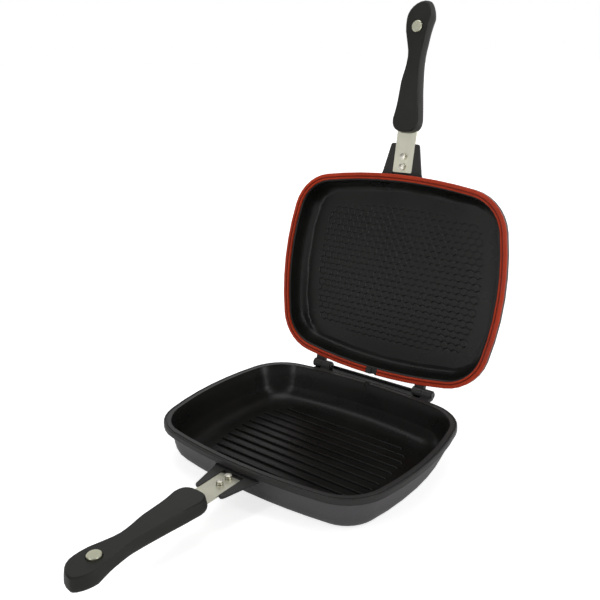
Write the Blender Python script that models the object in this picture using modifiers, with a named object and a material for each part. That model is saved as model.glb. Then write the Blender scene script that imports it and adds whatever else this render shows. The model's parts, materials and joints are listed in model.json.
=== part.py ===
"""Double sided flip pan, open: a deep pan and a shallow pan on a rear hinge.

Each pan carries a steel strap on two rivets and a moulded grip with a magnet in its flat face.
The part stands on the deep pan's base. X runs along the hinge, Y to the rear and Z up.
Everything is laid out with the pan shut; the shallow pan's pieces hang from an empty on the hinge
axis, which turns them open. Metres throughout.
"""
import math

import bmesh
import bpy
from mathutils import Matrix, Vector

# Rim outline, shared by both pans: side, corner and front arcs that meet tangentially
RIM_HALF_WIDTH = 0.150
RIM_HALF_DEPTH = 0.1212
RIM_CORNER_RADIUS = 0.0534
RIM_SIDE_RADIUS = 0.327
RIM_FRONT_RADIUS = 0.6046
SIDE_SEGMENTS = 6
FRONT_SEGMENTS = 8
CORNER_SEGMENTS = 7

# Gap kept between pieces that touch
CLEARANCE = 0.0003
# Length by which a cutter passes the face that it cuts
OVERRUN = 0.002
# Depth to which a piece that is joined to another reaches into it
ROOT = 0.0012

# Walls from top to floor, as shares of the run inwards and of the height: soft slope, steep outside, round inside
WALL_SHARES = ((0.0, 1.0), (0.11, 0.72), (0.21, 0.39), (0.31, 0.235), (0.46, 0.115), (0.68, 0.03), (1.0, 0.0))
STEEP_WALL_SHARES = ((0.0, 1.0), (0.04, 0.7), (0.09, 0.45), (0.19, 0.26), (0.36, 0.12), (0.64, 0.03), (1.0, 0.0))
ROUND_WALL_SHARES = ((0.0, 1.0), (0.07, 0.78), (0.15, 0.56), (0.25, 0.38), (0.44, 0.2), (0.7, 0.06), (1.0, 0.0))

# Deep pan
PAN_HEIGHT = 0.0445
PAN_FLANGE_HEIGHT = 0.0069
PAN_FLANGE_OVERHANG = 0.0063
PAN_BASE_INSET = 0.0302
PAN_FLOOR_THICKNESS = 0.0045
PAN_FLOOR_INSET = 0.038
RIM_EDGE = 0.0009
RIM_GROOVE_START = 0.0014
RIM_GROOVE_END = 0.0036
RIM_GROOVE_DEPTH = 0.0009
LIP_INSET = 0.0078

# Grill ribs on the deep pan's floor
RIB_COUNT = 11
RIB_PITCH = 0.0127
RIB_WIDTH = 0.0034
RIB_HEIGHT = 0.0020
RIB_SHOULDER_SHARE = 0.85
RIB_END_SHARE = 0.35
RIB_FIELD_HALF_WIDTH = 0.1
RIB_FIELD_HALF_DEPTH = 0.078
RIB_FIELD_EXPONENT = 3.5

# Shallow pan, shut, measured up from the deep pan's rim
LID_OVERHANG = 0.0010
LID_RIM_LEVEL = 0.0032
LID_FLANGE_HEIGHT = 0.0052
LID_FLANGE_OVERHANG = 0.0062
LID_HEIGHT = 0.0318
LID_TOP_INSET = 0.0285
LID_FLOOR_THICKNESS = 0.0042
LID_FLOOR_INSET = 0.0195
LID_MOUTH_INSET = 0.0072

# Silicone gasket in the shallow pan's rim
GASKET_WIDTH = 0.0074
GASKET_EDGE = 0.0007
GASKET_GROOVE_WIDTH = 0.0010
GASKET_GROOVE_SHARE = 0.36
GASKET_GROOVE_DEPTH = 0.0009
GASKET_GROOVE_SLOPE = 0.0005
TONGUE_INSET = 0.0012
TONGUE_WIDTH = 0.0032
TONGUE_HEIGHT = 0.0024

# Steam vents at the middle of the rear
VENT_BLOCK_WIDTH = 0.0160
VENT_BLOCK_LIFT = 0.0004
VENT_PLACE = 0.0022
LID_VENT_RADIUS = 0.0032
PAN_VENT_RADIUS = 0.0035
PAN_VENT_LENGTH = 0.0075

# Rear hinge
HINGE_BEHIND_RIM = 0.0056
HINGE_ABOVE_RIM = 0.00205
LID_OPEN_ANGLE = math.radians(101.16)
BARREL_RADIUS = 0.0054
HINGE_INNER_END = 0.0595
LUG_WIDTH = 0.0123
KNUCKLE_WIDTH = 0.0123
HINGE_SIDE_GAP = 0.0004
PIN_RADIUS = 0.0025
PIN_HEAD_RADIUS = 0.0040
PIN_HEAD_THICKNESS = 0.0012
PIN_END_DRILLING_RADIUS = 0.0012
PIN_END_DRILLING_DEPTH = 0.0025
NECK_TOP_RISE = 0.0010
NECK_ROOT_LENGTH = 0.0090
NECK_UNDERSIDE_ANGLE = math.radians(200.0)
KNUCKLE_FOOT_ANGLE = math.radians(-60.0)
BARREL_SEGMENTS = 20

# Ledge along the whole hinge, cast with the deep pan: the open lugs' heels rest on it
LEDGE_BEHIND_RIM = 0.0170
LEDGE_SHORT_OF_KNUCKLE = 0.0045
LEDGE_SHORT_OF_LUG = 0.0010
LEDGE_THICKNESS = 0.0042
LEDGE_EDGE = 0.0007
LEDGE_LIP_RISE = 0.0019
LEDGE_LIP_WIDTH = 0.0026
LEDGE_LIP_SLOPE = 0.0008

# Straps and their riveted seats, measured from the plane between the two grips
GRIP_PLANE = 0.0017
STRAP_FROM_PLANE = 0.0106
STRAP_WIDTH = 0.0253
STRAP_THICKNESS = 0.0016
STRAP_CORNER = 0.0016
STRAP_IN_GRIP = 0.0060
TANG_WIDTH = 0.0150
TANG_LENGTH = 0.0500
TANG_SHOULDER = 0.0040
PAN_STRAP_GAP = 0.0066
LID_STRAP_GAP = 0.0036
RIVET_RADIUS = 0.0022
RIVET_HEAD_RADIUS = 0.0037
RIVET_HEAD_HEIGHT = 0.0040
RIVET_DOME = 0.0008
RIVET_TAIL_RADIUS = 0.0036
RIVET_TAIL_HEIGHT = 0.0014
REAR_RIVET_FROM_RIM = 0.0101
RIVET_PITCH = 0.0122
TURNED_STEPS = 16

# Cast bracket round each strap: two prongs, a shelf under the strap and a wall at its end
BRACKET_THICKNESS = 0.0052
BRACKET_SIDE = 0.0024
BRACKET_DRAFT = 0.0036
PRONG_STAND = 0.0005
PRONG_LENGTH = 0.0375
PRONG_ROOT_HALF_WIDTH = 0.0258
PRONG_TIP_HALF_WIDTH = 0.0188
PRONG_TIP_ROUND = 0.0022
BRACKET_FLARE = 0.0030
BRACKET_FLARE_LENGTH = 0.0034
SEAT_BEYOND_STRAP = 0.0044
SHELF_LENGTH = 0.0315
BRACKET_ROOT_INSET = 0.0088

# Grips
GRIP_START = 0.0502
GRIP_LENGTH = 0.1462
GRIP_HALF_WIDTH = 0.0172
GRIP_DEPTH = 0.0175
GRIP_FACE_FROM_PLANE = 0.0023
GRIP_EDGE = 0.0012
GRIP_SECTION_EXPONENT = 3.3
GRIP_BELLY_SHARE = 0.19
GRIP_HEEL_EXPONENT = 2.6
GRIP_TIP_RIGHT_EXPONENT = 1.75
GRIP_TIP_LEFT_EXPONENT = 1.9
GRIP_TIP_SKEW = 0.0057
GRIP_STATION_SHARES = (0.10, 0.20, 0.30, 0.40, 0.51, 0.60, 0.69, 0.79, 0.87)
GRIP_RIGHT_SHARES = (0.95, 0.83, 0.70, 0.61, 0.55, 0.58, 0.70, 0.78, 0.89)
GRIP_LEFT_SHARES = (1.02, 0.86, 0.79, 0.73, 0.53, 0.47, 0.65, 0.89, 0.91)
GRIP_DEPTH_STATION_SHARES = (0.06, 0.27, 0.51, 0.71, 0.88)
GRIP_DEPTH_SHARES = (0.96, 1.0, 0.93, 0.78, 1.0)
GRIP_HEEL_STEPS = 6
GRIP_SIDE_STEPS = 16
GRIP_TIP_STEPS = 6
GRIP_SECTION_STEPS = 7

# Screw that holds each grip to its strap
SCREW_FROM_HEEL = 0.0340
SCREW_RADIUS = 0.0019
SCREW_HEAD_RADIUS = 0.0038
SCREW_HEAD_HEIGHT = 0.0022
SCREW_SINK = 0.0010
SCREW_BEYOND_STRAP = 0.0035
SCREW_SLOT_WIDTH = 0.0010
SCREW_SLOT_DEPTH = 0.0009

# Magnet in each grip's flat face
MAGNET_FROM_TIP = 0.0281
MAGNET_RADIUS = 0.0065
MAGNET_THICKNESS = 0.0040
MAGNET_EDGE = 0.0005
MAGNET_RING_GAP = 0.0009

HINGE_Y = RIM_HALF_DEPTH + HINGE_BEHIND_RIM
HINGE_Z = PAN_HEIGHT + HINGE_ABOVE_RIM
HINGE_AXIS = Vector((0.0, HINGE_Y, HINGE_Z))
GRIP_PLANE_Z = PAN_HEIGHT + GRIP_PLANE
RIM_FRONT_Y = -RIM_HALF_DEPTH
GRIP_HEEL_Y = RIM_FRONT_Y - GRIP_START
LOWER = -1.0
UPPER = 1.0


def clear_scene():
    for item in list(bpy.data.objects):
        bpy.data.objects.remove(item, do_unlink=True)


def new_collection(name):
    collection = bpy.data.collections.new(name)
    bpy.context.scene.collection.children.link(collection)
    return collection


def new_material(name, colour, roughness, metallic):
    material = bpy.data.materials.new(name)
    material.use_nodes = True
    shader = material.node_tree.nodes["Principled BSDF"]
    shader.inputs["Base Color"].default_value = (*colour, 1.0)
    shader.inputs["Roughness"].default_value = roughness
    shader.inputs["Metallic"].default_value = metallic
    return material


clear_scene()
PARTS = new_collection("double_sided_flip_pan")
CUTTERS = new_collection("cutters")
CAST_COATING = new_material("charcoal_cast_coating", (0.045, 0.043, 0.047), 0.42, 0.35)
STEEL = new_material("brushed_strap_steel", (0.66, 0.65, 0.62), 0.30, 1.0)
RIVET_METAL = new_material("rivet_aluminium", (0.70, 0.69, 0.66), 0.34, 1.0)
SILICONE = new_material("red_silicone", (0.56, 0.085, 0.030), 0.55, 0.0)
GRIP_RESIN = new_material("black_grip_resin", (0.022, 0.022, 0.021), 0.55, 0.0)
MAGNET_PLATE = new_material("magnet_plating", (0.74, 0.73, 0.68), 0.28, 1.0)
PIN_STEEL = new_material("pin_steel", (0.30, 0.30, 0.31), 0.40, 1.0)

LID_PIVOT = bpy.data.objects.new("lid_pivot", None)
PARTS.objects.link(LID_PIVOT)
LID_PIVOT.location = HINGE_AXIS
LID_PIVOT.rotation_euler = (-LID_OPEN_ANGLE, 0.0, 0.0)


def register(item, side, material=None):
    """Puts an object in its collection, and on the lid's pivot if it is one of the lid's."""
    if material is None:
        CUTTERS.objects.link(item)
        item.hide_render = True
        item.display_type = "WIRE"
    else:
        PARTS.objects.link(item)
        item.data.materials.append(material)
    if side == UPPER:
        item.parent = LID_PIVOT
        item.location = item.location - HINGE_AXIS
    return item


def finish_mesh(bm, name, smooth_angle=math.radians(32.0)):
    bm.normal_update()
    bmesh.ops.recalc_face_normals(bm, faces=bm.faces[:])
    mesh = bpy.data.meshes.new(name)
    bm.to_mesh(mesh)
    bm.free()
    mesh.shade_smooth()
    mesh.set_sharp_from_angle(angle=smooth_angle)
    return bpy.data.objects.new(name, mesh)


def loft(name, rings, closed=False):
    """Skins a run of equal rings; the ends are capped, or the last ring meets the first."""
    bm = bmesh.new()
    rows = [[bm.verts.new(point) for point in ring] for ring in rings]
    pairs = list(zip(rows, rows[1:]))
    if closed:
        pairs.append((rows[-1], rows[0]))
    count = len(rows[0])
    for first, second in pairs:
        for index in range(count):
            after = (index + 1) % count
            bm.faces.new((first[index], first[after], second[after], second[index]))
    if not closed:
        bm.faces.new(rows[0])
        bm.faces.new(rows[-1])
    return finish_mesh(bm, name)


def plate(name, loops, thickness, centre, facing=Matrix.Identity(3)):
    """A flat outline with its holes, as a filled 2D curve of some thickness, welded to one mesh."""
    curve = bpy.data.curves.new(name, "CURVE")
    curve.dimensions = "2D"
    curve.fill_mode = "BOTH"
    curve.extrude = thickness / 2.0
    for points in loops:
        spline = curve.splines.new("POLY")
        spline.points.add(len(points) - 1)
        for target, (u, v) in zip(spline.points, points):
            target.co = (u, v, 0.0, 1.0)
        spline.use_cyclic_u = True
    outline = bpy.data.objects.new(name + "_outline", curve)
    CUTTERS.objects.link(outline)
    bpy.context.view_layer.update()
    evaluated = outline.evaluated_get(bpy.context.evaluated_depsgraph_get())
    mesh = bpy.data.meshes.new_from_object(evaluated)
    bpy.data.objects.remove(outline, do_unlink=True)
    bpy.data.curves.remove(curve)
    bm = bmesh.new()
    bm.from_mesh(mesh)
    bpy.data.meshes.remove(mesh)
    bmesh.ops.remove_doubles(bm, verts=bm.verts[:], dist=CLEARANCE / 10.0)
    bm.transform(Matrix.Translation(centre) @ facing.to_4x4())
    return finish_mesh(bm, name)


def turned(name, profile, location, rotation=(0.0, 0.0, 0.0)):
    """A turned piece: its half profile, top to bottom, spun by a Screw modifier."""
    mesh = bpy.data.meshes.new(name)
    points = [(radius, 0.0, height) for radius, height in profile]
    mesh.from_pydata(points, [(i, i + 1) for i in range(len(points) - 1)], [])
    item = bpy.data.objects.new(name, mesh)
    spin = item.modifiers.new("spin", "SCREW")
    spin.steps = TURNED_STEPS
    spin.render_steps = TURNED_STEPS
    spin.use_merge_vertices = True
    spin.merge_threshold = CLEARANCE / 10.0
    spin.use_smooth_shade = True
    item.location = location
    item.rotation_euler = rotation
    return item


def block(name, low, high):
    """A box between two corners, from a cube primitive."""
    bm = bmesh.new()
    bmesh.ops.create_cube(bm, size=1.0)
    low = Vector(low)
    high = Vector(high)
    bmesh.ops.scale(bm, vec=high - low, verts=bm.verts[:])
    bmesh.ops.translate(bm, vec=(low + high) / 2.0, verts=bm.verts[:])
    return finish_mesh(bm, name)


def rod(name, radius, start, end, segments=BARREL_SEGMENTS):
    """A cylinder between two points."""
    start = Vector(start)
    end = Vector(end)
    along = end - start
    bm = bmesh.new()
    bmesh.ops.create_cone(bm, cap_ends=True, segments=segments, radius1=radius, radius2=radius, depth=along.length)
    turn = Vector((0.0, 0.0, 1.0)).rotation_difference(along).to_matrix().to_4x4()
    bm.transform(Matrix.Translation((start + end) / 2.0) @ turn)
    return finish_mesh(bm, name)


def combine(target, tool, operation):
    step = target.modifiers.new(tool.name, "BOOLEAN")
    step.operation = operation
    step.solver = "EXACT"
    step.object = tool


def join(target, tool, side):
    combine(target, register(tool, side), "UNION")


def cut(target, tool, side):
    combine(target, register(tool, side), "DIFFERENCE")


def rim_corner_centre():
    """Centre of the front or rear right corner arc, from the side's and the front's arcs."""
    side_centre = Vector((RIM_HALF_WIDTH - RIM_SIDE_RADIUS, 0.0))
    front_centre = Vector((0.0, RIM_HALF_DEPTH - RIM_FRONT_RADIUS))
    to_side = RIM_SIDE_RADIUS - RIM_CORNER_RADIUS
    to_front = RIM_FRONT_RADIUS - RIM_CORNER_RADIUS
    span = (front_centre - side_centre).length
    along = (front_centre - side_centre) / span
    foot = (to_side ** 2 - to_front ** 2 + span ** 2) / (2.0 * span)
    across = Vector((-along.y, along.x)) * math.sqrt(to_side ** 2 - foot ** 2)
    return side_centre, front_centre, side_centre + along * foot + across


def arc(centre, radius, start, end, segments):
    """Points of an arc without its last point."""
    points = []
    for step in range(segments):
        angle = start + (end - start) * step / segments
        points.append((centre[0] + radius * math.cos(angle), centre[1] + radius * math.sin(angle)))
    return points


def rim_outline(inset):
    """The rim's outline moved inwards, counter-clockwise from the middle of the right side."""
    side_centre, front_centre, corner = rim_corner_centre()
    side_end = math.atan2(corner.y, corner.x - side_centre.x)
    front_start = math.atan2(corner.y - front_centre.y, corner.x)
    half_side = arc(side_centre, RIM_SIDE_RADIUS - inset, 0.0, side_end, SIDE_SEGMENTS // 2)
    corner_arc = arc(corner, RIM_CORNER_RADIUS - inset, side_end, front_start, CORNER_SEGMENTS)
    half_front = arc(front_centre, RIM_FRONT_RADIUS - inset, front_start, math.pi / 2.0, FRONT_SEGMENTS // 2)
    quarter = half_side + corner_arc + half_front
    middle = (0.0, RIM_HALF_DEPTH - inset)
    rear = quarter + [middle] + [(-x, y) for x, y in quarter[:0:-1]]
    return rear + [(-x, -y) for x, y in rear]


def rim_ring(inset, z):
    return [(x, y, z) for x, y in rim_outline(inset)]


def rim_rear_y(x, inset=0.0):
    """Distance to the rear rim's edge at some place along the hinge."""
    radius = RIM_FRONT_RADIUS - inset
    return RIM_HALF_DEPTH - RIM_FRONT_RADIUS + math.sqrt(radius ** 2 - x ** 2)


def wall_points(top_inset, top_z, floor_inset, floor_z, shares=WALL_SHARES):
    run = floor_inset - top_inset
    height = top_z - floor_z
    return [(top_inset + run * inward, floor_z + height * up) for inward, up in shares]


def pan_profile():
    """Deep pan, from the middle of its base up the outside, over the rim and down the inside."""
    flange_bottom = PAN_HEIGHT - PAN_FLANGE_HEIGHT
    outside = wall_points(PAN_FLANGE_OVERHANG, flange_bottom, PAN_BASE_INSET, 0.0)
    inside = wall_points(LIP_INSET + RIM_EDGE, PAN_HEIGHT - RIM_EDGE, PAN_FLOOR_INSET, PAN_FLOOR_THICKNESS)
    groove_floor = PAN_HEIGHT - RIM_GROOVE_DEPTH
    rim = [
        (RIM_EDGE, flange_bottom),
        (0.0, flange_bottom + RIM_EDGE),
        (0.0, PAN_HEIGHT - RIM_EDGE),
        (RIM_EDGE, PAN_HEIGHT),
        (RIM_GROOVE_START, PAN_HEIGHT),
        (RIM_GROOVE_START + RIM_GROOVE_DEPTH / 2.0, groove_floor),
        (RIM_GROOVE_END - RIM_GROOVE_DEPTH / 2.0, groove_floor),
        (RIM_GROOVE_END, PAN_HEIGHT),
        (LIP_INSET, PAN_HEIGHT),
    ]
    return outside[::-1] + rim + inside


def lid_profile():
    """Shallow pan when shut, from the middle of its top down the outside, round the rim and up inside."""
    rim_z = PAN_HEIGHT + LID_RIM_LEVEL
    flange_top = rim_z + LID_FLANGE_HEIGHT
    top_z = PAN_HEIGHT + LID_HEIGHT
    floor_z = top_z - LID_FLOOR_THICKNESS
    outside = wall_points(LID_FLANGE_OVERHANG, flange_top, LID_TOP_INSET, top_z, STEEP_WALL_SHARES)
    mouth = LID_MOUTH_INSET + RIM_EDGE
    inside = wall_points(mouth, rim_z + RIM_EDGE, LID_FLOOR_INSET, floor_z, ROUND_WALL_SHARES)
    channel_outer = TONGUE_INSET - CLEARANCE
    channel_inner = TONGUE_INSET + TONGUE_WIDTH + CLEARANCE
    channel_top = rim_z + TONGUE_HEIGHT
    rim = [
        (RIM_EDGE - LID_OVERHANG, flange_top),
        (-LID_OVERHANG, flange_top - RIM_EDGE),
        (-LID_OVERHANG, rim_z),
        (channel_outer, rim_z),
        (channel_outer, channel_top),
        (channel_inner, channel_top),
        (channel_inner, rim_z),
        (LID_MOUTH_INSET, rim_z),
    ]
    return outside[::-1] + rim + inside


def gasket_profile():
    """Gasket section, a closed loop: a sealing face of two unlike ridges, and a tongue in the rim's channel."""
    bottom = PAN_HEIGHT + CLEARANCE
    top = PAN_HEIGHT + LID_RIM_LEVEL - CLEARANCE
    outer = -LID_OVERHANG
    inner = outer + GASKET_WIDTH
    middle = inner - GASKET_WIDTH * GASKET_GROOVE_SHARE
    half_groove = GASKET_GROOVE_WIDTH / 2.0
    tongue_top = top + TONGUE_HEIGHT - CLEARANCE
    return [
        (outer, bottom + GASKET_EDGE),
        (outer + GASKET_EDGE, bottom),
        (middle - half_groove - GASKET_GROOVE_SLOPE, bottom),
        (middle - half_groove, bottom + GASKET_GROOVE_DEPTH),
        (middle + half_groove, bottom + GASKET_GROOVE_DEPTH),
        (middle + half_groove + GASKET_GROOVE_SLOPE, bottom),
        (inner - GASKET_EDGE, bottom),
        (inner, bottom + GASKET_EDGE),
        (inner, top),
        (TONGUE_INSET + TONGUE_WIDTH, top),
        (TONGUE_INSET + TONGUE_WIDTH, tongue_top),
        (TONGUE_INSET, tongue_top),
        (TONGUE_INSET, top),
        (outer, top),
    ]


def make_ribs():
    """Parallel round-topped bars that rise from just inside the floor, with tapered ends."""
    floor = PAN_FLOOR_THICKNESS
    half = RIB_WIDTH / 2.0
    shoulder = half - RIB_HEIGHT / 4.0
    shoulder_z = floor + RIB_HEIGHT * RIB_SHOULDER_SHARE
    section = [
        (-half, floor - ROOT),
        (half, floor - ROOT),
        (half, floor),
        (shoulder, shoulder_z),
        (shoulder / 3.0, floor + RIB_HEIGHT),
        (-shoulder / 3.0, floor + RIB_HEIGHT),
        (-shoulder, shoulder_z),
        (-half, floor),
    ]
    bm = bmesh.new()
    for index in range(RIB_COUNT):
        y = (index - (RIB_COUNT - 1) / 2.0) * RIB_PITCH
        reach = 1.0 - abs(y / RIB_FIELD_HALF_DEPTH) ** RIB_FIELD_EXPONENT
        length = RIB_FIELD_HALF_WIDTH * reach ** (1.0 / RIB_FIELD_EXPONENT)
        ends = []
        places = ((-length, RIB_END_SHARE), (RIB_HEIGHT - length, 1.0), (length - RIB_HEIGHT, 1.0), (length, RIB_END_SHARE))
        for x, narrow in places:
            row = []
            for across, z in section:
                level = z if z <= floor else floor + (z - floor) * narrow
                row.append(bm.verts.new((x, y + across, level)))
            ends.append(row)
        for first, second in zip(ends, ends[1:]):
            for place in range(len(section)):
                after = (place + 1) % len(section)
                bm.faces.new((first[place], first[after], second[after], second[place]))
        bm.faces.new(ends[0])
        bm.faces.new(ends[-1])
    return finish_mesh(bm, "grill_ribs")


ALONG_X = Matrix(((0.0, 0.0, 1.0), (1.0, 0.0, 0.0), (0.0, 1.0, 0.0)))


def slab_along_hinge(name, outline, start_x, end_x):
    """An outline in the side view, given as rearward and upward places, extruded along the hinge."""
    centre = Vector(((start_x + end_x) / 2.0, 0.0, 0.0))
    return plate(name, [outline], abs(end_x - start_x), centre, ALONG_X)


def hinge_places():
    """For the left and the right hinge: where its lug and its knuckle start and end along X."""
    span = LUG_WIDTH + HINGE_SIDE_GAP + KNUCKLE_WIDTH
    for name, start in (("left", -HINGE_INNER_END - span), ("right", HINGE_INNER_END)):
        lug_end = start + LUG_WIDTH
        yield name, start, lug_end, lug_end + HINGE_SIDE_GAP, start + span


def barrel_arc(start, end):
    """Part of the barrel's outline in the side view."""
    centre = (HINGE_Y, HINGE_Z)
    segments = max(2, round(BARREL_SEGMENTS * abs(end - start) / math.tau))
    points = arc(centre, BARREL_RADIUS, start, end, segments)
    return points + [(HINGE_Y + BARREL_RADIUS * math.cos(end), HINGE_Z + BARREL_RADIUS * math.sin(end))]


def add_pan_hinge(pan):
    """Knuckles and the ledge under the whole hinge, cast with the deep pan."""
    rim_side_z = PAN_HEIGHT - RIM_EDGE
    ledge_top = HINGE_Z - BARREL_RADIUS - CLEARANCE
    hinge_end = HINGE_INNER_END + LUG_WIDTH + HINGE_SIDE_GAP + KNUCKLE_WIDTH
    left_end = LEDGE_SHORT_OF_LUG - hinge_end
    right_end = hinge_end - LEDGE_SHORT_OF_KNUCKLE
    root_y = rim_rear_y(hinge_end) - ROOT
    back_y = RIM_HALF_DEPTH + LEDGE_BEHIND_RIM
    ledge_bottom = ledge_top - LEDGE_THICKNESS
    ledge = [
        (root_y, ledge_top),
        (root_y, PAN_HEIGHT - PAN_FLANGE_HEIGHT + CLEARANCE),
        (HINGE_Y, ledge_bottom),
        (back_y - LEDGE_EDGE, ledge_bottom),
        (back_y, ledge_bottom + LEDGE_EDGE),
        (back_y, ledge_top + LEDGE_LIP_RISE - LEDGE_EDGE),
        (back_y - LEDGE_EDGE, ledge_top + LEDGE_LIP_RISE),
        (back_y - LEDGE_LIP_WIDTH, ledge_top + LEDGE_LIP_RISE),
        (back_y - LEDGE_LIP_WIDTH - LEDGE_LIP_SLOPE, ledge_top),
    ]
    join(pan, slab_along_hinge("rear_ledge", ledge, left_end, right_end), LOWER)
    foot_y = HINGE_Y + BARREL_RADIUS * math.cos(KNUCKLE_FOOT_ANGLE)
    for name, lug_start, lug_end, knuckle_start, knuckle_end in hinge_places():
        knuckle = barrel_arc(KNUCKLE_FOOT_ANGLE, math.pi)
        knuckle += [(HINGE_Y - BARREL_RADIUS, rim_side_z), (root_y, rim_side_z)]
        knuckle += [(root_y, ledge_top - ROOT), (foot_y, ledge_top - ROOT)]
        join(pan, slab_along_hinge(name + "_knuckle", knuckle, knuckle_start, knuckle_end), LOWER)
        bore_start = (knuckle_start - OVERRUN, HINGE_Y, HINGE_Z)
        bore_end = (knuckle_end + OVERRUN, HINGE_Y, HINGE_Z)
        cut(pan, rod(name + "_knuckle_bore", PIN_RADIUS + CLEARANCE, bore_start, bore_end), LOWER)


def add_lid_hinge(lid):
    """Two lugs with their necks and square heels, cast with the shallow pan, and the pins' bores."""
    rim_z = PAN_HEIGHT + LID_RIM_LEVEL
    flange_top = rim_z + LID_FLANGE_HEIGHT
    heel_angle = LID_OPEN_ANGLE - math.pi / 4.0
    heel_reach = BARREL_RADIUS * math.sqrt(2.0)
    heel = (HINGE_Y + heel_reach * math.cos(heel_angle), HINGE_Z + heel_reach * math.sin(heel_angle))
    underside = (HINGE_Y + BARREL_RADIUS * math.cos(NECK_UNDERSIDE_ANGLE),
                 HINGE_Z + BARREL_RADIUS * math.sin(NECK_UNDERSIDE_ANGLE))
    for name, lug_start, lug_end, knuckle_start, knuckle_end in hinge_places():
        barrel = barrel_arc(LID_OPEN_ANGLE, LID_OPEN_ANGLE + 1.5 * math.pi) + [heel]
        join(lid, slab_along_hinge(name + "_lug", barrel, lug_start, lug_end), UPPER)
        skin = rim_rear_y((lug_start + lug_end) / 2.0) + LID_OVERHANG
        neck = [
            (skin - ROOT, rim_z),
            (skin - ROOT, rim_z + TONGUE_HEIGHT + ROOT),
            (skin - NECK_ROOT_LENGTH, rim_z + TONGUE_HEIGHT + ROOT),
            (skin - NECK_ROOT_LENGTH, flange_top + NECK_TOP_RISE),
            (HINGE_Y, flange_top + NECK_TOP_RISE),
            (HINGE_Y, HINGE_Z),
            underside,
            (HINGE_Y - BARREL_RADIUS, rim_z),
        ]
        join(lid, slab_along_hinge(name + "_neck", neck, lug_start, lug_end), UPPER)
        bore_start = (lug_start - OVERRUN, HINGE_Y, HINGE_Z)
        bore_end = (lug_end + OVERRUN, HINGE_Y, HINGE_Z)
        cut(lid, rod(name + "_lug_bore", PIN_RADIUS + CLEARANCE, bore_start, bore_end), UPPER)


def make_pins():
    """A headed pin for each hinge, put in from the right, its head clear of the knuckle's end."""
    for name, lug_start, lug_end, knuckle_start, knuckle_end in hinge_places():
        length = knuckle_end + CLEARANCE - lug_start - PIN_HEAD_THICKNESS / 2.0
        profile = [
            (0.0, PIN_HEAD_THICKNESS - PIN_END_DRILLING_DEPTH),
            (PIN_END_DRILLING_RADIUS, PIN_HEAD_THICKNESS - PIN_END_DRILLING_DEPTH),
            (PIN_END_DRILLING_RADIUS, PIN_HEAD_THICKNESS),
            (PIN_HEAD_RADIUS, PIN_HEAD_THICKNESS),
            (PIN_HEAD_RADIUS, 0.0),
            (PIN_RADIUS, 0.0),
            (PIN_RADIUS, -length),
            (0.0, -length),
        ]
        place = (knuckle_end + CLEARANCE, HINGE_Y, HINGE_Z)
        pin = turned("hinge_pin_" + name, profile, place, (0.0, math.pi / 2.0, 0.0))
        register(pin, LOWER, PIN_STEEL)


def strap_face_z(side):
    return GRIP_PLANE_Z + side * STRAP_FROM_PLANE


def between(side, near, far):
    """Two heights in rising order, given by their distances from the grips' plane."""
    heights = sorted((GRIP_PLANE_Z + side * near, GRIP_PLANE_Z + side * far))
    return heights[0], heights[1]


def strap_end_y(side):
    return RIM_FRONT_Y - (PAN_STRAP_GAP if side == LOWER else LID_STRAP_GAP)


def rounded(points, radius, segments=3):
    """A polygon with its corners turned to short arcs."""
    result = []
    count = len(points)
    for index, corner in enumerate(points):
        corner = Vector(corner)
        before = (Vector(points[index - 1]) - corner).normalized()
        after = (Vector(points[(index + 1) % count]) - corner).normalized()
        half = before.angle(after) / 2.0
        reach = radius / math.tan(half)
        centre = corner + (before + after).normalized() * radius / math.sin(half)
        first = corner + before * reach - centre
        turn = first.angle_signed(corner + after * reach - centre)
        start = math.atan2(first.y, first.x)
        for step in range(segments + 1):
            angle = start - turn * step / segments
            result.append((centre.x + radius * math.cos(angle), centre.y + radius * math.sin(angle)))
    return result


def mirrored(points):
    """A right half outline, from its rear point to its front point, completed on the left."""
    return points + [(-x, y) for x, y in points[::-1]]


def bracket_ring(z, draft):
    """The bracket's outline at one level: a flared root, straight tapering sides, rounded tips."""
    tip_y = RIM_FRONT_Y - PRONG_LENGTH + draft / 2.0
    tip = PRONG_TIP_HALF_WIDTH - draft
    flare = PRONG_ROOT_HALF_WIDTH + BRACKET_FLARE - draft
    right = [
        (flare / 3.0, -rim_rear_y(flare / 3.0, BRACKET_ROOT_INSET)),
        (flare, -rim_rear_y(flare, BRACKET_ROOT_INSET)),
        (flare, -rim_rear_y(flare, PAN_FLANGE_OVERHANG / 2.0)),
        (PRONG_ROOT_HALF_WIDTH - draft, RIM_FRONT_Y - BRACKET_FLARE_LENGTH),
        (tip, tip_y + PRONG_TIP_ROUND),
        (tip - PRONG_TIP_ROUND / 3.0, tip_y + PRONG_TIP_ROUND / 3.0),
        (tip - PRONG_TIP_ROUND, tip_y),
    ]
    return [(x, y, z) for x, y in mirrored(right)]


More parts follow.
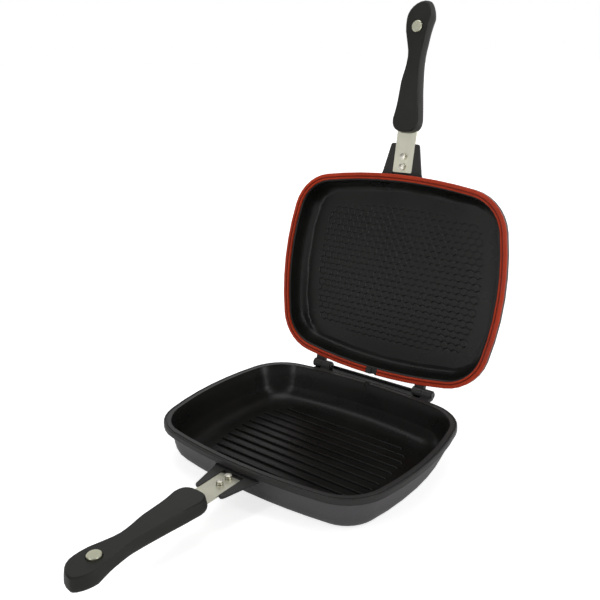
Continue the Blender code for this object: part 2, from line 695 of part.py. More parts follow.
def add_bracket(pan, side):
    """The cast bracket: two tapering prongs, a shelf under the strap, and the strap's seat."""
    name = "pan_bracket" if side == LOWER else "lid_bracket"
    inner = STRAP_WIDTH / 2.0 + CLEARANCE
    near = STRAP_FROM_PLANE - PRONG_STAND
    far = near + BRACKET_THICKNESS
    levels = ((near, 0.0), (near + BRACKET_SIDE, 0.0), (far, BRACKET_DRAFT))
    rings = [bracket_ring(GRIP_PLANE_Z + side * away, draft) for away, draft in levels]
    join(pan, loft(name, rings), side)
    tip_y = RIM_FRONT_Y - PRONG_LENGTH - OVERRUN
    low, high = between(side, near - OVERRUN, STRAP_FROM_PLANE + STRAP_THICKNESS + CLEARANCE)
    seat_high = (inner, strap_end_y(side) + SEAT_BEYOND_STRAP, high)
    cut(pan, block(name + "_seat", (-inner, tip_y, low), seat_high), side)
    low, high = between(side, near - OVERRUN, far + OVERRUN)
    slot_high = (inner, RIM_FRONT_Y - SHELF_LENGTH, high)
    cut(pan, block(name + "_slot", (-inner, tip_y, low), slot_high), side)
    for hole, y in rivet_places():
        start = (0.0, y, GRIP_PLANE_Z + side * near)
        end = (0.0, y, GRIP_PLANE_Z + side * (far + OVERRUN))
        bore = rod(name + "_" + hole + "_rivet_hole", RIVET_RADIUS + CLEARANCE, start, end, TURNED_STEPS)
        cut(pan, bore, side)


def rivet_places():
    rear = RIM_FRONT_Y - REAR_RIVET_FROM_RIM
    return (("rear", rear), ("front", rear - RIVET_PITCH))


def make_strap(name, side):
    """The strap: its wide length, the shoulders inside the grip, and the narrow tang."""
    half = STRAP_WIDTH / 2.0
    tang = TANG_WIDTH / 2.0
    shoulder = GRIP_HEEL_Y - STRAP_IN_GRIP
    right = [
        (half, strap_end_y(side)),
        (half, shoulder),
        (tang, shoulder - TANG_SHOULDER),
        (tang, shoulder - TANG_LENGTH),
    ]
    loops = [rounded(mirrored(right), STRAP_CORNER)]
    for _, y in rivet_places():
        loops.append(arc((0.0, y), RIVET_RADIUS + CLEARANCE, 0.0, math.tau, TURNED_STEPS))
    screw_hole = (0.0, GRIP_HEEL_Y - SCREW_FROM_HEEL)
    loops.append(arc(screw_hole, SCREW_RADIUS + CLEARANCE, 0.0, math.tau, TURNED_STEPS))
    middle = GRIP_PLANE_Z + side * (STRAP_FROM_PLANE + STRAP_THICKNESS / 2.0)
    register(plate(name, loops, STRAP_THICKNESS, Vector((0.0, 0.0, middle))), side, STEEL)


def make_rivets(name, side):
    """Solid rivets: a tall domed head on the strap's face and a flat tail behind the shelf."""
    grip_ward = CLEARANCE
    seat = BRACKET_THICKNESS - PRONG_STAND + CLEARANCE
    profile = [
        (0.0, grip_ward + RIVET_HEAD_HEIGHT),
        (RIVET_HEAD_RADIUS / 2.0, grip_ward + RIVET_HEAD_HEIGHT - RIVET_DOME / 4.0),
        (RIVET_HEAD_RADIUS, grip_ward + RIVET_HEAD_HEIGHT - RIVET_DOME),
        (RIVET_HEAD_RADIUS, grip_ward),
        (RIVET_RADIUS, grip_ward),
        (RIVET_RADIUS, -seat),
        (RIVET_TAIL_RADIUS, -seat),
        (RIVET_TAIL_RADIUS, -seat - RIVET_TAIL_HEIGHT / 2.0),
        (RIVET_RADIUS, -seat - RIVET_TAIL_HEIGHT),
        (0.0, -seat - RIVET_TAIL_HEIGHT),
    ]
    turn = (0.0, 0.0, 0.0) if side == LOWER else (math.pi, 0.0, 0.0)
    for place, y in rivet_places():
        item = turned(name + "_rivet_" + place, profile, Vector((0.0, y, strap_face_z(side))), turn)
        register(item, side, RIVET_METAL)


def smooth_value(stations, values, place):
    """A smooth curve through values at stations, held level beyond its ends."""
    if place <= stations[0]:
        return values[0]
    if place >= stations[-1]:
        return values[-1]
    index = max(i for i in range(len(stations)) if stations[i] <= place)
    start = stations[index]
    span = stations[index + 1] - start
    slopes = []
    for point in (index, index + 1):
        before = max(point - 1, 0)
        after = min(point + 1, len(stations) - 1)
        slopes.append((values[after] - values[before]) / (stations[after] - stations[before]) * span)
    t = (place - start) / span
    first = values[index] * (2.0 * t ** 3 - 3.0 * t ** 2 + 1.0) + slopes[0] * (t ** 3 - 2.0 * t ** 2 + t)
    return first + values[index + 1] * (3.0 * t ** 2 - 2.0 * t ** 3) + slopes[1] * (t ** 3 - t ** 2)


def grip_side(width_shares, outward, tip_exponent):
    """One side of the grip's flat face from heel to tip: distances across and from the heel."""
    first = GRIP_STATION_SHARES[0]
    last = GRIP_STATION_SHARES[-1]
    points = []
    for step in range(GRIP_HEEL_STEPS):
        angle = math.pi / 2.0 * step / GRIP_HEEL_STEPS
        across = width_shares[0] * math.sin(angle) ** (2.0 / GRIP_HEEL_EXPONENT)
        along = first * (1.0 - math.cos(angle) ** (2.0 / GRIP_HEEL_EXPONENT))
        points.append((outward * GRIP_HALF_WIDTH * across, GRIP_LENGTH * along))
    for step in range(GRIP_SIDE_STEPS + 1):
        along = first + (last - first) * step / GRIP_SIDE_STEPS
        across = smooth_value(GRIP_STATION_SHARES, width_shares, along)
        points.append((outward * GRIP_HALF_WIDTH * across, GRIP_LENGTH * along))
    for step in range(1, GRIP_TIP_STEPS + 1):
        angle = math.pi / 2.0 * step / GRIP_TIP_STEPS
        narrow = max(math.cos(angle), 0.0) ** (2.0 / tip_exponent)
        across = outward * GRIP_HALF_WIDTH * width_shares[-1]
        skewed = GRIP_TIP_SKEW + (across - GRIP_TIP_SKEW) * narrow
        along = last + (1.0 - last) * math.sin(angle) ** (2.0 / tip_exponent)
        points.append((skewed, GRIP_LENGTH * along))
    return points


def make_grip(name, side):
    """The grip: a flat face towards the other grip and a rounded back, drawn in at the waist."""
    right = grip_side(GRIP_RIGHT_SHARES, 1.0, GRIP_TIP_RIGHT_EXPONENT)
    left = grip_side(GRIP_LEFT_SHARES, -1.0, GRIP_TIP_LEFT_EXPONENT)
    outline = right + left[-2:0:-1]
    # the rounded back runs to a ridge that ends where the heel's and the tip's curves start
    ridge_start = GRIP_LENGTH * GRIP_STATION_SHARES[0]
    ridge_end = GRIP_LENGTH * GRIP_STATION_SHARES[-1]
    face_z = GRIP_PLANE_Z + side * GRIP_FACE_FROM_PLANE
    angles = [math.pi / 2.0 * step / GRIP_SECTION_STEPS for step in range(GRIP_SECTION_STEPS + 1)]
    rings = []
    for level in [None] + angles:
        ring = []
        for x, along in outline:
            core = min(max(along, ridge_start), ridge_end)
            share = smooth_value(GRIP_DEPTH_STATION_SHARES, GRIP_DEPTH_SHARES, core / GRIP_LENGTH)
            full_depth = GRIP_DEPTH * share - GRIP_EDGE
            if level is None:
                keep = 1.0 - GRIP_EDGE / ridge_start
                depth = 0.0
            else:
                keep = max(math.cos(level), 0.0) ** (2.0 / GRIP_SECTION_EXPONENT)
                keep = keep * (1.0 + GRIP_BELLY_SHARE * math.sin(2.0 * level))
                depth = GRIP_EDGE + full_depth * math.sin(level) ** (2.0 / GRIP_SECTION_EXPONENT)
            y = GRIP_HEEL_Y - core - (along - core) * keep
            ring.append((x * keep, y, face_z + side * depth))
        rings.append(ring)
    bm = bmesh.new()
    rows = [[bm.verts.new(point) for point in ring] for ring in rings]
    for first, second in zip(rows, rows[1:]):
        for index in range(len(first)):
            after = (index + 1) % len(first)
            bm.faces.new((first[index], first[after], second[after], second[index]))
    bm.faces.new(rows[0])
    bmesh.ops.remove_doubles(bm, verts=bm.verts[:], dist=CLEARANCE / 10.0)
    bmesh.ops.dissolve_degenerate(bm, edges=bm.edges[:], dist=CLEARANCE / 10.0)
    grip = register(finish_mesh(bm, name), side, GRIP_RESIN)
    cut_grip(grip, name, side)


def cut_grip(grip, name, side):
    """The strap's and the tang's slots, the screw's bore and the magnet's pocket."""
    shoulder = GRIP_HEEL_Y - STRAP_IN_GRIP
    tang_end = shoulder - TANG_LENGTH
    near = STRAP_FROM_PLANE - CLEARANCE
    far = STRAP_FROM_PLANE + STRAP_THICKNESS + CLEARANCE
    low, high = between(side, near, far)
    half = STRAP_WIDTH / 2.0 + CLEARANCE
    slot_low = (-half, shoulder - TANG_SHOULDER, low)
    slot_high = (half, GRIP_HEEL_Y + OVERRUN, high)
    cut(grip, block(name + "_strap_slot", slot_low, slot_high), side)
    half = TANG_WIDTH / 2.0 + CLEARANCE
    tang_low = (-half, tang_end - CLEARANCE, low)
    tang_high = (half, shoulder, high)
    cut(grip, block(name + "_tang_slot", tang_low, tang_high), side)
    screw_y = GRIP_HEEL_Y - SCREW_FROM_HEEL
    head_seat, back = screw_levels()
    start = (0.0, screw_y, GRIP_PLANE_Z + side * (STRAP_FROM_PLANE - SCREW_BEYOND_STRAP - CLEARANCE))
    end = (0.0, screw_y, GRIP_PLANE_Z + side * back)
    cut(grip, rod(name + "_screw_bore", SCREW_RADIUS + CLEARANCE, start, end, TURNED_STEPS), side)
    start = (0.0, screw_y, GRIP_PLANE_Z + side * head_seat)
    end = (0.0, screw_y, GRIP_PLANE_Z + side * (back + OVERRUN))
    cut(grip, rod(name + "_screw_counterbore", SCREW_HEAD_RADIUS + CLEARANCE, start, end, TURNED_STEPS), side)
    magnet_y = GRIP_HEEL_Y - GRIP_LENGTH + MAGNET_FROM_TIP
    start = (0.0, magnet_y, GRIP_PLANE_Z)
    end = (0.0, magnet_y, GRIP_PLANE_Z + side * (MAGNET_THICKNESS + CLEARANCE + CLEARANCE))
    pocket = rod(name + "_magnet_pocket", MAGNET_RADIUS + MAGNET_RING_GAP, start, end, BARREL_SEGMENTS)
    cut(grip, pocket, side)


def screw_levels():
    """Distances from the grips' plane to the screw head's seat and to the grip's back."""
    share = smooth_value(GRIP_DEPTH_STATION_SHARES, GRIP_DEPTH_SHARES, SCREW_FROM_HEEL / GRIP_LENGTH)
    back = GRIP_FACE_FROM_PLANE + GRIP_DEPTH * share
    return back - SCREW_SINK - SCREW_HEAD_HEIGHT - CLEARANCE, back


def make_screw(name, side):
    """A slotted screw from the grip's rounded back, through the tang, into the resin beyond."""
    head_seat, back = screw_levels()
    shank = head_seat + CLEARANCE - (STRAP_FROM_PLANE - SCREW_BEYOND_STRAP)
    profile = [
        (0.0, SCREW_HEAD_HEIGHT),
        (SCREW_HEAD_RADIUS, SCREW_HEAD_HEIGHT),
        (SCREW_HEAD_RADIUS, 0.0),
        (SCREW_RADIUS, 0.0),
        (SCREW_RADIUS, SCREW_RADIUS - shank),
        (0.0, -shank),
    ]
    turn = (math.pi, 0.0, 0.0) if side == LOWER else (0.0, 0.0, 0.0)
    y = GRIP_HEEL_Y - SCREW_FROM_HEEL
    head_z = GRIP_PLANE_Z + side * (head_seat + CLEARANCE)
    screw = register(turned(name, profile, Vector((0.0, y, head_z)), turn), side, PIN_STEEL)
    low, high = between(side, head_seat + CLEARANCE + SCREW_HEAD_HEIGHT - SCREW_SLOT_DEPTH, back + OVERRUN)
    slot_low = (-SCREW_HEAD_RADIUS - OVERRUN, y - SCREW_SLOT_WIDTH / 2.0, low)
    slot_high = (SCREW_HEAD_RADIUS + OVERRUN, y + SCREW_SLOT_WIDTH / 2.0, high)
    cut(screw, block(name + "_slot", slot_low, slot_high), side)


def make_magnet(name, side):
    """The plated magnet disc, which stands proud of the grip's flat face to meet the other one."""
    top = MAGNET_THICKNESS
    profile = [
        (0.0, top),
        (MAGNET_RADIUS - MAGNET_EDGE, top),
        (MAGNET_RADIUS, top - MAGNET_EDGE),
        (MAGNET_RADIUS, 0.0),
        (0.0, 0.0),
    ]
    turn = (0.0, 0.0, 0.0) if side == LOWER else (math.pi, 0.0, 0.0)
    y = GRIP_HEEL_Y - GRIP_LENGTH + MAGNET_FROM_TIP
    seat_z = GRIP_PLANE_Z + side * (MAGNET_THICKNESS + CLEARANCE)
    register(turned(name, profile, Vector((0.0, y, seat_z)), turn), side, MAGNET_PLATE)


def make_handle(name, pan, side):
    add_bracket(pan, side)
    make_strap(name + "_strap", side)
    make_rivets(name, side)
    make_grip(name + "_grip", side)
    make_screw(name + "_grip_screw", side)
    make_magnet(name + "_magnet", side)


def make_lower_pan():
    pan = loft("lower_pan", [rim_ring(inset, z) for inset, z in pan_profile()])
    register(pan, LOWER, CAST_COATING)
    join(pan, make_ribs(), LOWER)
    add_pan_hinge(pan)
    start = (VENT_PLACE, RIM_HALF_DEPTH - RIM_GROOVE_END, PAN_HEIGHT)
    end = (VENT_PLACE, RIM_HALF_DEPTH - RIM_GROOVE_END - PAN_VENT_LENGTH, PAN_HEIGHT)
    cut(pan, rod("pan_vent", PAN_VENT_RADIUS, start, end), LOWER)
    make_handle("lower", pan, LOWER)


def make_upper_pan():
    lid = loft("upper_pan", [rim_ring(inset, z) for inset, z in lid_profile()])
    register(lid, UPPER, CAST_COATING)
    add_lid_hinge(lid)
    half = VENT_BLOCK_WIDTH / 2.0 - CLEARANCE
    block_bottom = PAN_HEIGHT + CLEARANCE + VENT_BLOCK_LIFT
    rear = RIM_HALF_DEPTH + LID_OVERHANG
    low = (-half, rear - GASKET_WIDTH, block_bottom)
    high = (half, rim_rear_y(half) + LID_OVERHANG, PAN_HEIGHT + LID_RIM_LEVEL + TONGUE_HEIGHT + ROOT)
    join(lid, block("vent_block", low, high), UPPER)
    start = (VENT_PLACE, rear - GASKET_WIDTH - OVERRUN, block_bottom)
    end = (VENT_PLACE, rear + OVERRUN, block_bottom)
    cut(lid, rod("lid_vent", LID_VENT_RADIUS, start, end), UPPER)
    make_handle("upper", lid, UPPER)


def make_gasket():
    """The gasket all round the shallow pan's rim, open at the rear where the vent block stands."""
    rings = [rim_ring(inset, z) for inset, z in gasket_profile()]
    gasket = register(loft("rim_gasket", rings, closed=True), UPPER, SILICONE)
    half = VENT_BLOCK_WIDTH / 2.0
    low = (-half, RIM_HALF_DEPTH - GASKET_WIDTH - OVERRUN, PAN_HEIGHT - OVERRUN)
    high = (half, RIM_HALF_DEPTH + LID_OVERHANG + OVERRUN, PAN_HEIGHT + LID_RIM_LEVEL + TONGUE_HEIGHT + OVERRUN)
    cut(gasket, block("gasket_gap", low, high), UPPER)


make_lower_pan()
make_upper_pan()
make_gasket()
make_pins()
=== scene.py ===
import json
import math

import bpy
from bpy.props import FloatProperty, FloatVectorProperty, PointerProperty
from mathutils import Matrix, Vector

bl_info = {
    "name": "Double sided flip pan",
    "version": (1, 0, 0),
    "blender": (4, 5, 0),
    "location": "View3D > Sidebar > Flip Pan",
    "description": "Finishes, stage, light and camera for an open double sided pan",
    "category": "Object",
}

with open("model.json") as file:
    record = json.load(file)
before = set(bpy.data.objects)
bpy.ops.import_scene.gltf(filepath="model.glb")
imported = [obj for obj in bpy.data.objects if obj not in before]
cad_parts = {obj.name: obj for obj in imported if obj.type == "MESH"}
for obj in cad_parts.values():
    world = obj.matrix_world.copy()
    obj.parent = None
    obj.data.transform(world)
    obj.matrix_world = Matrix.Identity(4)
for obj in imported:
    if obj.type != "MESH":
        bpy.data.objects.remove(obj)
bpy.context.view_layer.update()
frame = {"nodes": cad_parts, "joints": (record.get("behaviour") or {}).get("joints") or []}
HINGE = next(joint for joint in frame["joints"] if joint["name"] == "lid_hinge")
HINGE_PLACE = Vector(HINGE["pos_m"])
OPEN_ANGLE = math.radians(HINGE["range_deg"][1])

# Places in the pans' shut frame, in metres, as the solids have them
RIM_HALF_WIDTH = 0.150
RIM_HALF_DEPTH = 0.1212
RIM_CORNER_RADIUS = 0.0534
RIM_SIDE_RADIUS = 0.327
RIM_FRONT_RADIUS = 0.6046
MOUTH_INSET = 0.0077
SKIRT_INSET = 0.0020
EDGE_SOFTNESS = 0.0006
PAN_RIM_Z = 0.0445
PAN_FLANGE_BOTTOM_Z = 0.0376
LID_FLANGE_TOP_Z = 0.0529
LEDGE_TOP_Z = 0.0437
LEDGE_FRONT_Y = 0.06
GASKET_GROOVE_INSET = 0.00374
GASKET_GROOVE_HALF_WIDTH = 0.0012
CELLS_INSET = 0.036
SMOOTH_ANGLE = math.radians(35)
WELD_DISTANCE = 0.000002
FLANGE_BLEND_INSIDE = 0.0002
FLANGE_BLEND_OUTSIDE = 0.0006

# Finishes: strengths, shares and bump distances in metres
PAN_SPECULAR = 0.22
PAN_GRAIN_DISTANCE = 0.00006
SKIRT_METALLIC = 0.45
# painted shade on the ledge behind the rim, as a share of the coating's colour
LEDGE_SHADE_TONE = 0.7
FACING_SOFTNESS = 0.06
# painted shade in the honeycomb's grooves, as a share of darkening
HONEYCOMB_SHADE = 0.5
# painted shade in the gasket's groove, as a share of the silicone's colour
GASKET_GROOVE_SHADE_TONE = 0.45
GASKET_SPECULAR = 0.20
GASKET_GRAIN_DISTANCE = 0.00004
GASKET_SUBSURFACE = 0.08
GASKET_SUBSURFACE_RADIUS = (0.004, 0.0012, 0.0006)
GRIP_SPECULAR = 0.32
GRIP_GRAIN_DISTANCE = 0.00005
SCRATCH_DISTANCE = 0.00002

# Stage, in metres
FLOOR_STEPS = 64
FLOOR_ROUGHNESS = 0.9
GLOW_NEAR = 0.55
GLOW_FAR = 1.6
SEEN_GLOW = (0.74, 1.0)
MIRRORED_GLOW = (0.15, 0.95)
TALL_LAMP = (0.24, 3.4)
TOP_LAMP = (1.4, 1.4)
TALL_LAMP_Z = 1.75
BACKDROP_TURN = (-0.2, 0.3)
BACKDROP_LIFT = 0.35
HORIZON_FADE = 0.28

# Camera fitted to the photograph
CAMERA_AZIMUTH = math.radians(37.72)
CAMERA_ELEVATION = math.radians(18.79)
CAMERA_ROLL = math.radians(0.56)
CAMERA_PLACE = Vector((-0.010093, 0.130804, 0.80402))
CAMERA_FOCAL_PIXELS = 727.13
PICTURE_WIDTH_PIXELS = 600.0
SENSOR_WIDTH_MM = 36.0

PAN_NODES = ("lower_pan", "upper_pan")
GRIP_NODES = ("lower_grip", "upper_grip")
STRAP_NODES = ("lower_strap", "upper_strap")
RIVET_NODES = ("lower_rivet_front", "lower_rivet_rear", "upper_rivet_front", "upper_rivet_rear")
MAGNET_NODES = ("lower_magnet", "upper_magnet")
PIN_NODES = ("hinge_pin_left", "hinge_pin_right")
SCREW_NODES = ("lower_grip_screw", "upper_grip_screw")


def colour_property(name, description, default):
    return FloatVectorProperty(name=name, description=description, subtype="COLOR", size=3,
                               min=0.0, max=1.0, default=default)


def share_property(name, description, default):
    return FloatProperty(name=name, description=description, min=0.0, max=1.0,
                         subtype="FACTOR", default=default)


def length_property(name, description, default):
    return FloatProperty(name=name, description=description, min=0.0, default=default,
                         subtype="DISTANCE", unit="LENGTH")


class PanFinish(bpy.types.PropertyGroup):
    """Colours and texture of the two cast pans."""
    coating: colour_property("Coating", "Non-stick coating inside both pans", (0.0085, 0.0087, 0.0078))
    skirt: colour_property("Skirt", "Outside of both pans under their rims", (0.118, 0.114, 0.118))
    rim: colour_property("Rim", "Rims, brackets, hinges and ledge", (0.038, 0.037, 0.036))
    coating_roughness: share_property("Coating roughness", "Roughness of the non-stick coating", 0.29)
    skirt_roughness: share_property("Skirt roughness", "Roughness of the outside", 0.42)
    rim_roughness: share_property("Rim roughness", "Roughness of the rims and brackets", 0.40)
    cell_width: length_property("Cell width", "Width of one cell of the lid floor's honeycomb", 0.00971)
    cell_row: length_property("Cell row", "Distance between two rows of cells", 0.00742)
    cell_swing: length_property("Cell swing", "Rise and fall of the wavy groove between rows", 0.0010)
    groove_width: length_property("Groove width", "Half the width of a groove between cells", 0.0011)
    groove_depth: length_property("Groove depth", "Depth of the grooves between cells", 0.00025)


class HandleFinish(bpy.types.PropertyGroup):
    """Colours and texture of the grips, straps and fasteners."""
    grip: colour_property("Grip", "Moulded grips", (0.0125, 0.0128, 0.0105))
    grip_roughness: share_property("Grip roughness", "Roughness of the grips", 0.46)
    strap: colour_property("Strap", "Brushed straps", (0.80, 0.79, 0.65))
    rivet: colour_property("Rivet", "Rivet heads", (0.66, 0.64, 0.56))
    magnet: colour_property("Magnet", "Magnet discs", (0.84, 0.84, 0.65))
    pin: colour_property("Pin", "Hinge pins and grip screws", (0.10, 0.10, 0.10))


class SealFinish(bpy.types.PropertyGroup):
    """Colour and texture of the silicone gasket."""
    silicone: colour_property("Silicone", "Gasket", (0.48, 0.040, 0.0095))
    roughness: share_property("Roughness", "Roughness of the gasket", 0.42)


class StageSettings(bpy.types.PropertyGroup):
    """Floor, lamps and camera."""
    floor: colour_property("Floor", "Floor", (0.80, 0.80, 0.80))
    floor_radius: length_property("Floor radius", "Size of the floor", 30.0)
    sky: FloatProperty(name="Sky", description="Strength of the even light from above", min=0.0, default=0.16)
    horizon: FloatProperty(name="Horizon", description="Strength of the even light near the horizon", min=0.0,
                           default=1.1)
    key_power: FloatProperty(name="Key power", description="Tall lamp at the right", min=0.0,
                             default=14.0, subtype="POWER", unit="POWER")
    fill_power: FloatProperty(name="Fill power", description="Tall lamp at the front", min=0.0,
                              default=14.0, subtype="POWER", unit="POWER")
    top_power: FloatProperty(name="Top power", description="Lamp overhead", min=0.0,
                             default=13.0, subtype="POWER", unit="POWER")


def settings():
    return bpy.context.scene.flip_pan


class Board:
    """Short names for adding and joining nodes in one tree."""

    def __init__(self, tree):
        self.tree = tree

    def add(self, kind, **values):
        node = self.tree.nodes.new(kind)
        for name, value in values.items():
            setattr(node, name, value)
        return node

    def join(self, source, target):
        if isinstance(source, bpy.types.NodeSocket):
            self.tree.links.new(source, target)
        else:
            target.default_value = source

    def math(self, operation, first, second=0.0, third=0.0, clamp=False):
        node = self.add("ShaderNodeMath", operation=operation, use_clamp=clamp)
        for place, value in enumerate((first, second, third)):
            self.join(value, node.inputs[place])
        return node.outputs[0]

    def step(self, value, start, end, low=0.0, high=1.0):
        """A smooth change from low to high as the value goes from start to end."""
        node = self.add("ShaderNodeMapRange", interpolation_type="SMOOTHSTEP")
        for place, source in enumerate((value, start, end, low, high)):
            self.join(source, node.inputs[place])
        return node.outputs[0]

    def colours(self, share, first, second):
        node = self.add("ShaderNodeMix", data_type="RGBA")
        self.join(share, node.inputs[0])
        self.join(rgba(first), node.inputs[6])
        self.join(rgba(second), node.inputs[7])
        return node.outputs[2]

    def tones(self, share, colour, low, high):
        """One colour that runs from low to high times its own strength."""
        return self.colours(share, scaled(colour, low), scaled(colour, high))

    def values(self, share, first, second):
        node = self.add("ShaderNodeMix", data_type="FLOAT")
        for place, source in ((0, share), (2, first), (3, second)):
            self.join(source, node.inputs[place])
        return node.outputs[0]

    def noise(self, vector, scale, detail=2.0, roughness=0.5):
        node = self.add("ShaderNodeTexNoise")
        self.join(vector, node.inputs["Vector"])
        node.inputs["Scale"].default_value = scale
        node.inputs["Detail"].default_value = detail
        node.inputs["Roughness"].default_value = roughness
        return node.outputs[0]


def scaled(colour, share):
    return [share * part for part in colour]


def rgba(colour):
    return colour if isinstance(colour, bpy.types.NodeSocket) else (*tuple(colour)[:3], 1.0)


def group(name, inputs, outputs):
    """A new node group with named sockets, and its board, input node and output node."""
    tree = bpy.data.node_groups.new(name, "ShaderNodeTree")
    for socket_name, kind, default in inputs:
        socket = tree.interface.new_socket(socket_name, in_out="INPUT", socket_type=kind)
        if default is not None:
            socket.default_value = default
    for socket_name, kind in outputs:
        tree.interface.new_socket(socket_name, in_out="OUTPUT", socket_type=kind)
    board = Board(tree)
    return tree, board, board.add("NodeGroupInput"), board.add("NodeGroupOutput")


def use_group(board, tree, **values):
    node = board.add("ShaderNodeGroup", node_tree=tree)
    for name, value in values.items():
        board.join(value, node.inputs[name.replace("_", " ")])
    return node


def grain_group():
    """Fine grain and slow tone changes, for cast, moulded and coated surfaces."""
    name = "surface_grain"
    if name in bpy.data.node_groups:
        return bpy.data.node_groups[name]
    tree, board, given, result = group(
        name,
        [("Vector", "NodeSocketVector", None), ("Grain scale", "NodeSocketFloat", 900.0),
         ("Cloud scale", "NodeSocketFloat", 14.0)],
        [("Grain", "NodeSocketFloat"), ("Cloud", "NodeSocketFloat")])
    grain = board.add("ShaderNodeTexNoise")
    grain.inputs["Detail"].default_value = 3.0
    cloud = board.add("ShaderNodeTexNoise")
    cloud.inputs["Detail"].default_value = 4.0
    for node, scale in ((grain, "Grain scale"), (cloud, "Cloud scale")):
        board.join(given.outputs["Vector"], node.inputs["Vector"])
        board.join(given.outputs[scale], node.inputs["Scale"])
    board.join(grain.outputs[0], result.inputs["Grain"])
    board.join(cloud.outputs[0], result.inputs["Cloud"])
    return tree


def shut_frame_group():
    """Turns places or directions on the open lid back to the shut frame."""
    name = "lid_shut_frame"
    if name in bpy.data.node_groups:
        return bpy.data.node_groups[name]
    tree, board, given, result = group(
        name,
        [("Place", "NodeSocketVector", None), ("Direction", "NodeSocketVector", None)],
        [("Place", "NodeSocketVector"), ("Direction", "NodeSocketVector")])
    for socket, centre in (("Place", HINGE_PLACE), ("Direction", Vector())):
        turn = board.add("ShaderNodeVectorRotate", rotation_type="X_AXIS")
        board.join(given.outputs[socket], turn.inputs["Vector"])
        turn.inputs["Center"].default_value = centre
        turn.inputs["Angle"].default_value = OPEN_ANGLE
        board.join(turn.outputs[0], result.inputs[socket])
    return tree


def rim_arc_centres():
    """Centres of the rim's right side arc, its rear arc and the corner arc between them, in plan."""
    side = Vector((RIM_HALF_WIDTH - RIM_SIDE_RADIUS, 0.0, 0.0))
    rear = Vector((0.0, RIM_HALF_DEPTH - RIM_FRONT_RADIUS, 0.0))
    to_side = RIM_SIDE_RADIUS - RIM_CORNER_RADIUS
    to_rear = RIM_FRONT_RADIUS - RIM_CORNER_RADIUS
    span = (rear - side).length
    along = (rear - side) / span
    foot = (to_side ** 2 - to_rear ** 2 + span ** 2) / (2.0 * span)
    across = Vector((-along.y, along.x, 0.0)) * math.sqrt(to_side ** 2 - foot ** 2)
    return side, rear, side + along * foot + across


def outline_group():
    """Distance outwards from the rim's outline, seen along the shut frame's Z."""
    name = "rim_outline"
    if name in bpy.data.node_groups:
        return bpy.data.node_groups[name]
    tree, board, given, result = group(
        name, [("Place", "NodeSocketVector", None)], [("Distance", "NodeSocketFloat")])
    quarter = board.add("ShaderNodeVectorMath", operation="ABSOLUTE")
    board.join(given.outputs["Place"], quarter.inputs[0])
    plan = board.add("ShaderNodeVectorMath", operation="MULTIPLY")
    board.join(quarter.outputs[0], plan.inputs[0])
    plan.inputs[1].default_value = (1.0, 1.0, 0.0)
    side, rear, corner = rim_arc_centres()
    beyond = []
    for centre, radius in ((side, RIM_SIDE_RADIUS), (rear, RIM_FRONT_RADIUS), (corner, RIM_CORNER_RADIUS)):
        away = board.add("ShaderNodeVectorMath", operation="DISTANCE")
        board.join(plan.outputs[0], away.inputs[0])
        away.inputs[1].default_value = centre
        beyond.append(board.math("SUBTRACT", away.outputs["Value"], radius))
    # the corner arc holds between the lines from the two wide arcs' centres through its own
    past = []
    for centre, turn in ((side, 1.0), (rear, -1.0)):
        line = (corner - centre).normalized()
        across = Vector((-line.y, line.x, 0.0)) * turn
        reach = board.add("ShaderNodeVectorMath", operation="DOT_PRODUCT")
        board.join(plan.outputs[0], reach.inputs[0])
        reach.inputs[1].default_value = across
        past.append(board.math("GREATER_THAN", reach.outputs["Value"], corner.dot(across)))
    at_corner = board.math("MULTIPLY", past[0], past[1])
    wide = board.math("MAXIMUM", beyond[0], beyond[1])
    board.join(board.values(at_corner, wide, beyond[2]), result.inputs["Distance"])
    return tree


def honeycomb_group():
    """Depth of the grooves between the honeycomb cells on the lid's floor, from 0 to 1."""
    name = "lid_floor_honeycomb"
    if name in bpy.data.node_groups:
        return bpy.data.node_groups[name]
    tree, board, given, result = group(
        name,
        [("Place", "NodeSocketVector", None), ("Width", "NodeSocketFloat", 0.0097),
         ("Row", "NodeSocketFloat", 0.0074), ("Swing", "NodeSocketFloat", 0.001),
         ("Groove", "NodeSocketFloat", 0.0011)],
        [("Depth", "NodeSocketFloat")])
    split = board.add("ShaderNodeSeparateXYZ")
    board.join(given.outputs["Place"], split.inputs[0])
    columns = board.math("DIVIDE", split.outputs[0], given.outputs["Width"])
    rows = board.math("DIVIDE", split.outputs[1], given.outputs["Row"])
    # neighbouring rows are shifted by half a cell
    line = board.math("ROUND", rows)
    shifted = board.math("MULTIPLY_ADD", line, 0.5, columns)
    wave = board.math("COSINE", board.math("MULTIPLY", shifted, math.tau))
    swing = board.math("MULTIPLY", wave, given.outputs["Swing"])
    off = board.math("MULTIPLY", board.math("SUBTRACT", rows, line), given.outputs["Row"])
    off = board.math("ABSOLUTE", board.math("SUBTRACT", off, swing))
    below = board.math("MULTIPLY_ADD", board.math("FLOOR", rows), 0.5, columns)
    aside = board.math("ABSOLUTE", board.math("SUBTRACT", below, board.math("ROUND", below)))
    aside = board.math("MULTIPLY", aside, given.outputs["Width"])
    nearest = board.math("MINIMUM", off, aside)
    board.join(board.step(nearest, 0.0, given.outputs["Groove"], 1.0, 0.0), result.inputs["Depth"])
    return tree


